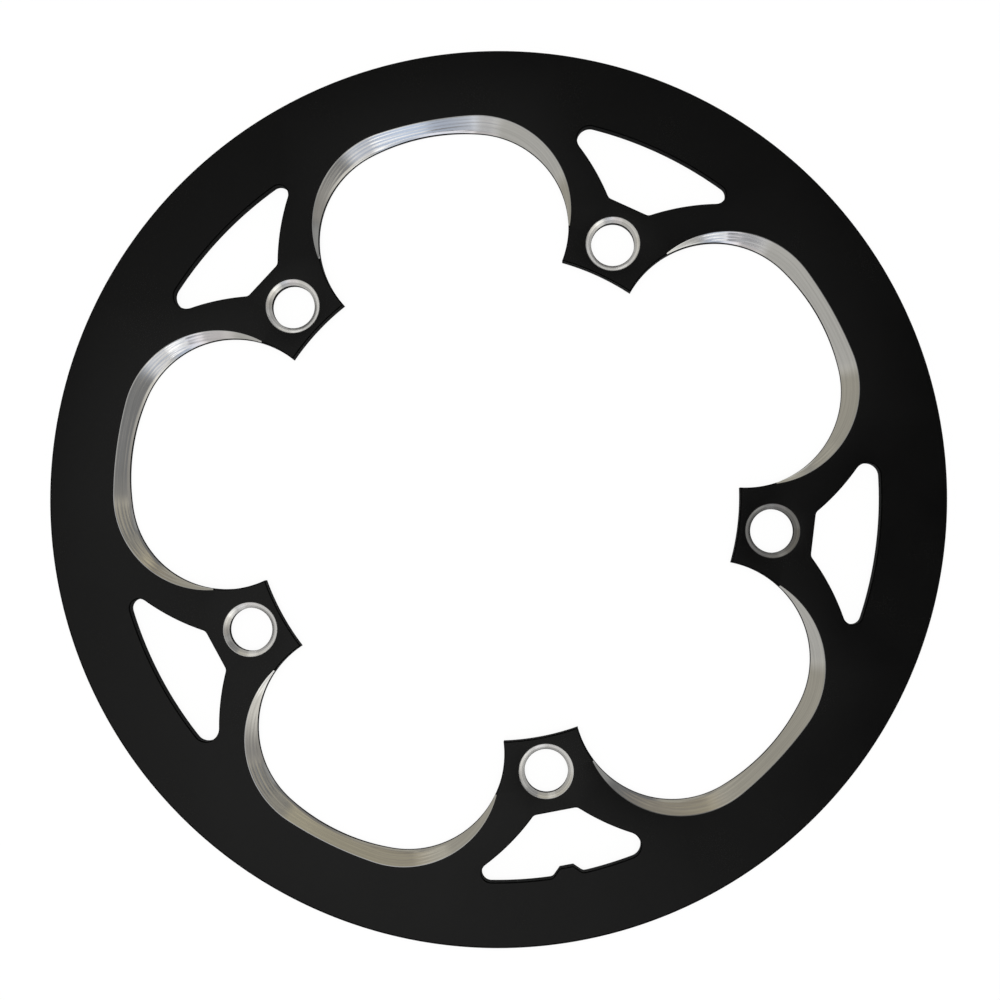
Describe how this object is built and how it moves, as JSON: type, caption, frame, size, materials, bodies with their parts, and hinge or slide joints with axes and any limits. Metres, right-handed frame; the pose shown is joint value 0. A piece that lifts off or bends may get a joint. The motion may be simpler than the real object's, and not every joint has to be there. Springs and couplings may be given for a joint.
{
  "type": "chainring guard",
  "caption": "Flat round chainring guard with inward bolt tabs, bevelled scallops between them and a window behind each tab; black anodised aluminium with bare milled bevels.",
  "frame": {"origin": "centre of the bolt circle on the flat back face", "axes": "+Z along the crank axis, out of the front face; -Y through the bolt hole whose window has the index lug"},
  "size_m": [0.2092, 0.2092, 0.0035],
  "materials": {
    "guard_plate": "black anodised, satin, with bare milled bevels and hole countersinks"
  },
  "bodies": {
    "root": {"guard_plate": "guard_plate"}
  },
  "joints": []
}
